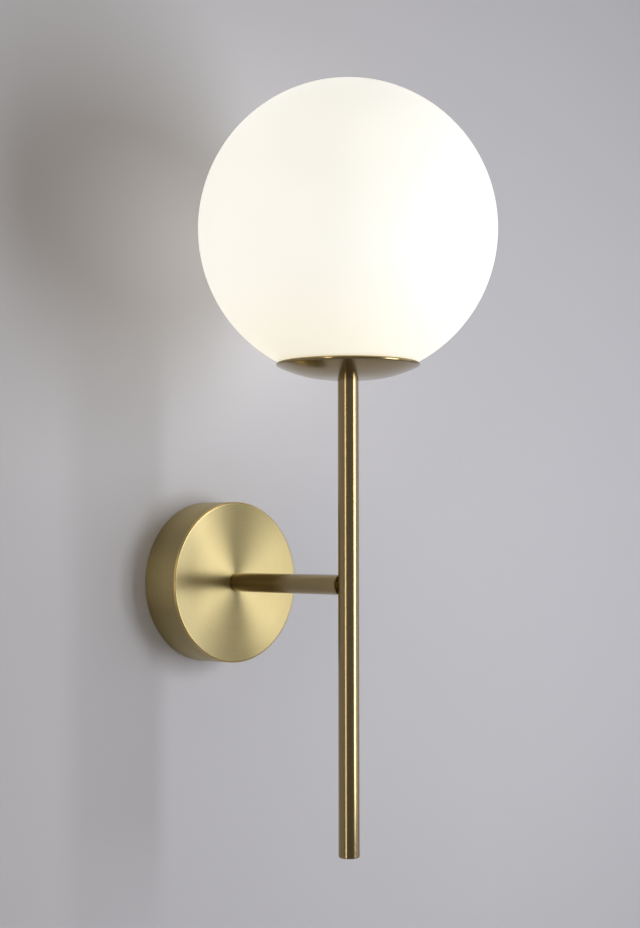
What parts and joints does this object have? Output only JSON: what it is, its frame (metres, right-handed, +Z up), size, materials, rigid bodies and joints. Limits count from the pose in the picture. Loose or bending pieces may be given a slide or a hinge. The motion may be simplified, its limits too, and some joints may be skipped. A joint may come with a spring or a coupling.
{
  "type": "globe wall sconce",
  "caption": "Wall light: a round brass canopy, a level arm, an upright brass rod and an opal glass globe seated in a shallow dish at its top.",
  "frame": {"origin": "centre of the canopy's rear rim, on the wall plane", "axes": "+Y into the wall (the lamp stands out towards -Y), +Z up along the rod, +X to the right when facing the wall"},
  "size_m": [0.2, 0.244, 0.516],
  "materials": {
    "brushed_brass": "fine brushed, clear lacquered",
    "turned_brass": "turned, bare",
    "opal_glass": "white opal, satin outside",
    "zinc_steel": "zinc plated",
    "spring_steel": "blued spring steel",
    "black_plastic": "moulded phenolic",
    "white_plastic": "moulded polyamide",
    "porcelain": "fired, unglazed",
    "nickel": "nickel plated",
    "black_glass": "pressed black glass",
    "diffuser_plastic": "frosted polycarbonate",
    "board": "white solder mask",
    "chip": "phosphor gel",
    "brown_insulation": "extruded",
    "blue_insulation": "extruded",
    "green_insulation": "extruded"
  },
  "bodies": {
    "fixture": {"canopy": "brushed_brass", "arm_tube": "brushed_brass", "rod_tube": "brushed_brass", "dish": "brushed_brass", "rod_end_plug": "brushed_brass", "rod_tee": "turned_brass", "rod_top_insert": "turned_brass", "arm_base_insert": "turned_brass", "arm_tip_insert": "turned_brass", "rod_stud": "zinc_steel", "rod_nipple": "zinc_steel", "arm_nipple": "zinc_steel", "arm_nut": "zinc_steel", "dish_nut": "zinc_steel", "arm_lock_washer": "spring_steel", "dish_lock_washer": "spring_steel", "backing_plate": "zinc_steel", "canopy_set_screws": "turned_brass", "wall_bracket": "zinc_steel", "nipple_bush": "white_plastic", "dish_spacer": "zinc_steel", "clip_plate": "zinc_steel", "spring_clips": "spring_steel", "clip_rivets": "zinc_steel", "lampholder_cap": "black_plastic", "lampholder_skirt": "black_plastic", "lampholder_core": "porcelain", "lampholder_screw_shell": "nickel", "lampholder_terminals": "turned_brass", "lampholder_terminal_screws": "zinc_steel", "lampholder_centre_contact": "turned_brass", "terminal_block": "white_plastic", "terminal_inserts": "turned_brass", "terminal_screws": "zinc_steel", "terminal_block_screw": "zinc_steel", "earth_screw": "turned_brass", "earth_ring_terminal": "nickel", "wire_live": "brown_insulation", "wire_neutral": "blue_insulation", "wire_earth": "green_insulation"},
    "globe": {"globe": "opal_glass"},
    "bulb": {"bulb_contact": "nickel", "bulb_insulator": "black_glass", "bulb_cap": "nickel", "bulb_housing": "white_plastic", "bulb_diffuser": "diffuser_plastic", "light_board": "board", "light_chips": "chip", "light_driver": "board"}
  },
  "joints": [
    {"name": "globe_lift", "type": "slide", "parent": "fixture", "child": "globe", "axis": [0, 0, 1], "range_m": [0, 0.15]},
    {"name": "bulb_unscrew", "type": "slide", "parent": "fixture", "child": "bulb", "axis": [0, 0, 1], "range_m": [0, 0.025]}
  ]
}
